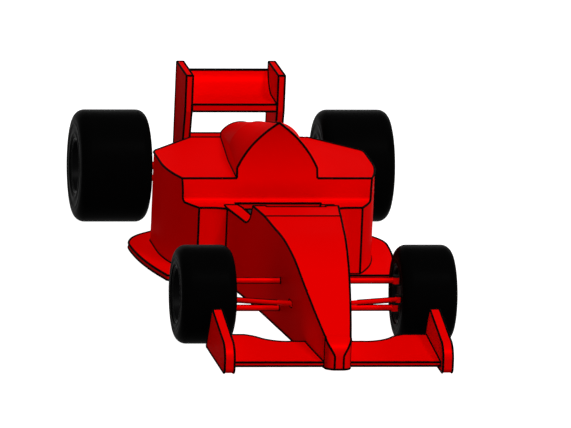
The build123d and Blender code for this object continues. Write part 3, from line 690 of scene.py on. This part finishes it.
def makeScrews():
    s = screwSettings
    bm = bmesh.new()
    for x, places in screwRows:
        for sign in (1, -1):
            addBolts(bm, [(sign * (x - s["sunk"]), y, z) for y, z in places], (sign, 0, 0), s["radius"])
    makePiece("panelScrews", bm, "chassis", "body_red")


# Screws and skid pads under the step plate
skidSettings = {
    "screw": [(-0.002, 0), (-0.002, 0.011), (0.0008, 0.011), (0.0016, 0.010), (0.0016, 0.004),
              (0.0006, 0.0035), (0.0006, 0)],
    "screwX": (-0.42, -0.21, 0.0, 0.21, 0.42), "screwY": (0.05, 0.30, 0.55, 0.80, 1.05),
    "pad": (0.16, 0.05, 0.005), "padX": (-0.12, 0.12), "padY": (0.04, 1.32), "padEase": 0.0012,
}


def makeSkidPads():
    s = skidSettings
    low, high = (Vector(corner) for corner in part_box("step_plate"))
    bm = bmesh.new()
    for y in s["screwY"]:
        for x in s["screwX"]:
            turnSection(bm, s["screw"], (x, y, low.z), (0, 0, -1), steps=18)
    for y in s["padY"]:
        for x in s["padX"]:
            easedBlock(bm, s["pad"], (x, y, low.z), ease=s["padEase"])
    makePiece("skidPads", bm, "chassis", "step_black", materialName="steel")


makeScrews()
makeSkidPads()
print("screws set")


# Steering wheel: grips, face with screen and shift paddles, knobs and a row of lamps. It is made flat,
# x across and z out of its face, and then laid on its axis. A block is its size, middle and ease
helmSettings = {
    "joint": "steering_wheel_turn", "ring": 0.118, "gripRadius": 0.0165, "gripHalf": 48,
    "face": ((0.132, 0.070, 0.010), (0, 0.002, 0.0130), 0.004),
    "screen": ((0.064, 0.026, 0.004), (0, 0.016, 0.0190), 0.0012),
    "paddle": ((0.052, 0.034, 0.003), (0.0625, -0.004, -0.030), 0.0012),
    "paddleArm": ((0.010, 0.020, 0.026), (0.040, -0.004, -0.019), 0.0012),
    "top": 0.018,
    "button": [(0, 0.0065), (0.0035, 0.0065), (0.0045, 0.0055), (0.0045, 0)],
    "buttons": ((-0.052, 0.022), (0.052, 0.022), (-0.052, 0.002), (0.052, 0.002)),
    "dial": [(0, 0.0085), (0.002, 0.0085), (0.003, 0.007), (0.0095, 0.0062), (0.0105, 0.005), (0.0105, 0)],
    "dials": ((-0.026, -0.016), (0.026, -0.016)),
    "lamp": [(0, 0.0024), (0.0012, 0.0022), (0.0018, 0.0012), (0.0018, 0)],
    "lamps": [((index - 3) * 0.0085, 0.0335) for index in range(7)],
}


def helmPlace():
    joint = next(joint for joint in frame["record"]["behaviour"]["joints"]
                 if joint["name"] == helmSettings["joint"])
    out = Vector(joint["axis"]).normalized()
    across = Vector((1, 0, 0))
    up = out.cross(across).normalized()
    if up.z < 0:
        up = -up
    return Matrix.Translation(joint["pos_m"]) @ Matrix((across, up, out)).transposed().to_4x4()


def makeHelm():
    s = helmSettings
    place = helmPlace()

    def finish(name, bm, materialName):
        bmesh.ops.transform(bm, matrix=place, verts=bm.verts)
        makePiece(name, bm, "steering", "grip_black", materialName=materialName)
    grips = bmesh.new()
    for middle in (0, 180):
        ring = bmesh.ops.create_circle(grips, cap_ends=True, segments=16, radius=s["gripRadius"])["verts"]
        cap = ring[0].link_faces[0]
        bmesh.ops.rotate(grips, verts=ring, cent=(0, 0, 0), matrix=Matrix.Rotation(math.pi / 2, 3, "X"))
        bmesh.ops.translate(grips, verts=ring, vec=(s["ring"], 0, 0))
        bmesh.ops.rotate(grips, verts=ring, cent=(0, 0, 0),
                         matrix=Matrix.Rotation(math.radians(middle - s["gripHalf"]), 3, "Z"))
        bmesh.ops.spin(grips, geom=[cap] + list(cap.edges) + ring, cent=(0, 0, 0), axis=(0, 0, 1),
                       angle=math.radians(2 * s["gripHalf"]), steps=24, use_duplicate=False,
                       use_merge=False)
    finish("helmGrips", grips, "grip_black")
    face = bmesh.new()
    size, middle, ease = s["face"]
    easedBlock(face, size, middle, ease=ease, segments=3)
    size, middle, ease = s["screen"]
    easedBlock(face, size, middle, ease=ease)
    for sign in (-1, 1):
        for size, (x, y, z), ease in (s["paddle"], s["paddleArm"]):
            easedBlock(face, size, (sign * x, y, z), ease=ease)
    finish("helmFace", face, "dash_black")
    knobs = bmesh.new()
    for section, places in ((s["button"], s["buttons"]), (s["dial"], s["dials"])):
        for x, y in places:
            turnSection(knobs, section, (x, y, s["top"]), (0, 0, 1), steps=18)
    finish("helmKnobs", knobs, "steel")
    lamps = bmesh.new()
    for x, y in s["lamps"]:
        turnSection(lamps, s["lamp"], (x, y, s["top"]), (0, 0, 1), steps=10)
    finish("helmLamps", lamps, "lens_red")


# Dash: two gauges with plain marks and a row of switches
gaugeSettings = {
    "x": (-0.095, 0.095), "face": -0.5083, "z": 0.445,
    "bezel": [(0, 0.027), (0.008, 0.027), (0.010, 0.025), (0.010, 0.0225), (0.004, 0.021), (0.004, 0)],
    "needle": (0.0016, 0.0012, 0.030), "needleY": -0.5036, "needleTurns": (-35, 20), "needleEase": 0.0003,
    "mark": (0.0011, 0.0010, 0.0045), "markY": -0.5042, "markRing": 0.0175, "markEase": 0.0002,
    "marks": 11, "markStart": -135, "markStep": 27,
    "switch": [(0, 0.006), (0.004, 0.006), (0.012, 0.0028), (0.014, 0.0028), (0.014, 0)],
    "switchX": (-0.024, 0.0, 0.024), "switchZ": 0.478,
}


def makeGauges():
    s = gaugeSettings
    bm = bmesh.new()
    marks = bmesh.new()
    for x, needleTurn in zip(s["x"], s["needleTurns"]):
        turnSection(bm, s["bezel"], (x, s["face"], s["z"]), (0, 1, 0), steps=36)
        easedBlock(marks, s["needle"], (x, s["needleY"], s["z"]),
                   Matrix.Rotation(math.radians(needleTurn), 4, "Y"), ease=s["needleEase"], segments=1)
        for index in range(s["marks"]):
            turn = math.radians(s["markStart"] + s["markStep"] * index)
            at = (x + s["markRing"] * math.sin(turn), s["markY"], s["z"] + s["markRing"] * math.cos(turn))
            easedBlock(marks, s["mark"], at, Matrix.Rotation(turn, 4, "Y"), ease=s["markEase"], segments=1)
    for x in s["switchX"]:
        turnSection(bm, s["switch"], (x, s["face"], s["switchZ"]), (0, 1, 0), steps=14)
    makePiece("dashGauges", bm, "chassis", "dash_black")
    makePiece("dashMarks", marks, "chassis", "dash_black", materialName="mark_white")


makeHelm()
makeGauges()
print("wheel and dash dressed")


# Seat pads, puffed by cloth, with sewn channels pressed in afterwards
padSettings = {"voxel": 0.005, "pressure": 4.0, "frames": 20, "cap": 0.006, "corner": 0.022,
               "channel": 0.0030, "channelHalf": 0.007}
pads = {
    "backPad": {"size": (0.262, 0.205, 0.020), "at": (0.0, -0.0330, 0.3560), "lean": 67.2, "channels": 5},
    "basePad": {"size": (0.262, 0.150, 0.017), "at": (0.0, -0.3080, 0.1880), "lean": -5.5, "channels": 3},
}


def applied(piece):
    graph = bpy.context.evaluated_depsgraph_get()
    graph.update()
    mesh = bpy.data.meshes.new_from_object(piece.evaluated_get(graph))
    piece.modifiers.clear()
    piece.data = mesh


def puff(piece):
    s = padSettings
    remesh = piece.modifiers.new("remesh", "REMESH")
    remesh.mode = "VOXEL"
    remesh.voxel_size = s["voxel"]
    applied(piece)
    rest = [vert.co.copy() for vert in piece.data.vertices]
    cloth = piece.modifiers.new("cloth", "CLOTH")
    cloth.settings.use_pressure = True
    cloth.settings.uniform_pressure_force = s["pressure"]
    cloth.settings.effector_weights.gravity = 0
    cloth.point_cache.frame_start = 1
    cloth.point_cache.frame_end = s["frames"]
    for step in range(1, s["frames"] + 1):
        bpy.context.scene.frame_set(step)
    applied(piece)
    bpy.context.scene.frame_set(1)
    for vert, place in zip(piece.data.vertices, rest):
        move = vert.co - place
        if move.length > s["cap"]:
            vert.co = place + move.normalized() * s["cap"]


def makePad(name, pad):
    s = padSettings
    width, length, thick = pad["size"]
    place = Matrix.Translation(pad["at"]) @ Matrix.Rotation(math.radians(pad["lean"]), 4, "X")
    bm = bmesh.new()
    made = bmesh.ops.create_cube(bm, size=1.0)["verts"]
    bmesh.ops.scale(bm, vec=(width, length, thick), verts=made)
    upright = [edge for edge in bm.edges if abs((edge.verts[0].co - edge.verts[1].co).z) > thick / 2]
    bmesh.ops.bevel(bm, geom=upright, offset=s["corner"], offset_type="OFFSET", affect="EDGES", segments=5,
                    profile=0.5, material=-1)
    bmesh.ops.subdivide_edges(bm, edges=bm.edges, cuts=1, use_grid_fill=True)
    bmesh.ops.transform(bm, matrix=place, verts=bm.verts)
    piece = makePiece(name, bm, "chassis", "seat_black", materialName="pad_fabric")
    puff(piece)
    back = place.inverted()
    for vert in piece.data.vertices:
        local = back @ vert.co
        if local.z < 0:
            continue
        share = (local.y / length + 0.5) * pad["channels"]
        near = abs(share - round(share)) * length / pad["channels"]
        if 0 < round(share) < pad["channels"] and near < s["channelHalf"]:
            fall = 0.5 + 0.5 * math.cos(math.pi * near / s["channelHalf"])
            local.z -= s["channel"] * fall
            vert.co = place @ local
    smooth = piece.modifiers.new("smooth", "SUBSURF")
    smooth.levels = 1
    smooth.render_levels = 1
    piece.data.shade_smooth()


for padName, pad in pads.items():
    makePad(padName, pad)
print("pads puffed")


# Harness: flat webbing from shoulders, hips and crotch to one buckle. The left side's points are given
strapSettings = {"width": 0.044, "thick": 0.0022}
straps = {
    "shoulder": [(0.055, 0.052, 0.480), (0.055, 0.014, 0.478), (0.054, -0.014, 0.452),
                 (0.051, -0.040, 0.395), (0.045, -0.064, 0.335), (0.034, -0.096, 0.276),
                 (0.020, -0.140, 0.234)],
    "hip": [(0.150, -0.118, 0.214), (0.118, -0.130, 0.219), (0.080, -0.146, 0.222), (0.030, -0.158, 0.224)],
    "crotch": [(0, -0.262, 0.206), (0, -0.235, 0.213), (0, -0.200, 0.219), (0, -0.165, 0.224)],
}
strapWays = {"shoulder": (1, 0, 0), "hip": (0, 0.9, 0.42), "crotch": (1, 0, 0)}     # across the webbing


def makeStrap(name, kind, sign=1):
    s = strapSettings
    points = [Vector((sign * x, y, z)) for x, y, z in straps[kind]]
    half = Vector(strapWays[kind]).normalized() * s["width"] / 2
    bm = bmesh.new()
    edge = bm.edges.new([bm.verts.new(points[0] + half * way) for way in (-1, 1)])
    for start, end in zip(points, points[1:]):
        made = bmesh.ops.extrude_edge_only(bm, edges=[edge])["geom"]
        edge = next(part for part in made if isinstance(part, bmesh.types.BMEdge))
        bmesh.ops.translate(bm, verts=list(edge.verts), vec=end - start)
    piece = makePiece(name, bm, "chassis", "seat_black", materialName="webbing")
    for modifierKind, values in (("SUBSURF", {"levels": 2, "render_levels": 2}),
                                 ("SOLIDIFY", {"thickness": s["thick"], "offset": 0.0})):
        modifier = piece.modifiers.new(modifierKind.lower(), modifierKind)
        for key, value in values.items():
            setattr(modifier, key, value)


for side, sign in sides.items():
    makeStrap("shoulderStrap_" + side, "shoulder", sign)
    makeStrap("hipStrap_" + side, "hip", sign)
makeStrap("crotchStrap", "crotch")


# Round buckle where the straps meet, and an adjuster on each shoulder strap
buckleSettings = {
    "section": [(-0.006, 0), (-0.006, 0.024), (-0.003, 0.027), (0.004, 0.027), (0.007, 0.024),
                (0.007, 0.016), (0.010, 0.015), (0.012, 0.012), (0.012, 0)],
    "at": (0.0, -0.160, 0.226), "out": (0, -0.45, 0.89),
    "adjuster": (0.016, 0.050, 0.004), "adjusterAt": (0.055, -0.0265, 0.4270), "adjusterLean": 66,
    "adjusterEase": 0.001,
}


def makeBuckle():
    s = buckleSettings
    bm = bmesh.new()
    turnSection(bm, s["section"], s["at"], s["out"], steps=40)
    x, y, z = s["adjusterAt"]
    for sign in (1, -1):
        easedBlock(bm, s["adjuster"], (sign * x, y, z),
                   Matrix.Rotation(math.radians(s["adjusterLean"]), 4, "X"), ease=s["adjusterEase"])
    makePiece("harnessBuckle", bm, "chassis", "seat_black", materialName="steel")


makeBuckle()
print("harness laid")


# Camera: long lens, so that parallel edges stay parallel as in the picture
cameraSettings = {"azimuth": -10.0513, "elevation": 13.5976, "roll": 2.3850, "distance": 100.0,
                  "width": 3.3595, "right": 0.0264, "up": 0.0286, "height": 0.45, "sensor": 36.0,
                  "clip": (1.0, 300.0)}


def makeCamera():
    s = cameraSettings
    azimuth, elevation, roll = (math.radians(s[name]) for name in ("azimuth", "elevation", "roll"))
    back = Vector((math.sin(azimuth) * math.cos(elevation), -math.cos(azimuth) * math.cos(elevation),
                   math.sin(elevation)))
    right = Vector((0, 0, 1)).cross(back).normalized()
    up = back.cross(right)
    rolledRight = right * math.cos(roll) + up * math.sin(roll)
    rolledUp = up * math.cos(roll) - right * math.sin(roll)
    target = Vector((0, 0, s["height"])) + right * s["right"] + up * s["up"]
    data = bpy.data.cameras.new("camera")
    data.sensor_width = s["sensor"]
    data.lens = s["sensor"] * s["distance"] / s["width"]
    data.clip_start, data.clip_end = s["clip"]
    camera = bpy.data.objects.new("camera", data)
    bpy.context.collection.objects.link(camera)
    turn = Matrix((rolledRight, rolledUp, back)).transposed().to_4x4()
    camera.matrix_world = Matrix.Translation(target + back * s["distance"]) @ turn
    bpy.context.scene.camera = camera


# A soft key from the front, a second one without shadow, a weak fill from behind and a white surround
lightSettings = {"key": (0.16, -0.345, 0.480), "keyStrength": 0.88, "keyAngle": 9.0,
                 "openStrength": 1.67, "fill": (0.10, 0.95, 0.06), "fillStrength": 0.55, "fillAngle": 40.0,
                 "ambient": 0.185, "floorGlow": 0.80, "floorColour": 0.62, "floorHalf": 60.0}


def makeSun(name, toward, strength, angle, shadow=True):
    data = bpy.data.lights.new(name, "SUN")
    data.energy = strength
    data.angle = math.radians(angle)
    data.use_shadow = shadow
    lamp = bpy.data.objects.new(name, data)
    lamp.rotation_mode = "QUATERNION"
    lamp.rotation_quaternion = Vector(toward).to_track_quat("Z", "Y")
    bpy.context.collection.objects.link(lamp)


def makeWorld():
    world = bpy.data.worlds.new("studio")
    bpy.context.scene.world = world
    world.use_nodes = True
    tree = world.node_tree
    tree.nodes.clear()
    path = addNode(tree, "ShaderNodeLightPath")
    seen = mathNode(tree, "MAXIMUM", path.outputs["Is Camera Ray"], path.outputs["Is Glossy Ray"])
    seen = mathNode(tree, "MAXIMUM", seen, path.outputs["Is Transmission Ray"])
    level = lightSettings["ambient"]
    dim = addNode(tree, "ShaderNodeBackground")
    dim.inputs["Color"].default_value = (level, level, level, 1)
    white = addNode(tree, "ShaderNodeBackground")
    white.inputs["Color"].default_value = (1, 1, 1, 1)
    mix = addNode(tree, "ShaderNodeMixShader")
    end = addNode(tree, "ShaderNodeOutputWorld")
    link(tree, seen, mix.inputs[0])
    link(tree, dim.outputs[0], mix.inputs[1])
    link(tree, white.outputs[0], mix.inputs[2])
    link(tree, mix.outputs[0], end.inputs[0])


def makeFloor():
    s = lightSettings
    bm = bmesh.new()
    bmesh.ops.create_grid(bm, x_segments=1, y_segments=1, size=s["floorHalf"])
    mesh = bpy.data.meshes.new("floor")
    bm.to_mesh(mesh)
    bm.free()
    material = bpy.data.materials.new("paleFloor")
    material.use_nodes = True
    tree = material.node_tree
    tree.nodes.clear()
    path = addNode(tree, "ShaderNodeLightPath")
    glow = addNode(tree, "ShaderNodeEmission")
    glow.inputs["Color"].default_value = (1, 1, 1, 1)
    glow.inputs["Strength"].default_value = s["floorGlow"]
    matt = addNode(tree, "ShaderNodeBsdfDiffuse")
    matt.inputs["Color"].default_value = (s["floorColour"], s["floorColour"], s["floorColour"], 1)
    dim = addNode(tree, "ShaderNodeEmission")
    dim.inputs["Color"].default_value = (1, 1, 1, 1)
    dim.inputs["Strength"].default_value = s["ambient"]
    seen = addNode(tree, "ShaderNodeAddShader")
    mix = addNode(tree, "ShaderNodeMixShader")
    end = addNode(tree, "ShaderNodeOutputMaterial")
    link(tree, glow.outputs[0], seen.inputs[0])
    link(tree, matt.outputs[0], seen.inputs[1])
    link(tree, path.outputs["Is Diffuse Ray"], mix.inputs[0])
    link(tree, seen.outputs[0], mix.inputs[1])
    link(tree, dim.outputs[0], mix.inputs[2])
    link(tree, mix.outputs[0], end.inputs[0])
    mesh.materials.append(material)
    floor = bpy.data.objects.new("floor", mesh)
    bpy.context.collection.objects.link(floor)


makeCamera()
makeSun("key", lightSettings["key"], lightSettings["keyStrength"], lightSettings["keyAngle"])
makeSun("open", lightSettings["key"], lightSettings["openStrength"], lightSettings["keyAngle"],
        shadow=False)
makeSun("fill", lightSettings["fill"], lightSettings["fillStrength"], lightSettings["fillAngle"])
makeWorld()
makeFloor()
bpy.context.scene.view_settings.view_transform = "Standard"
print("camera, light and floor set")
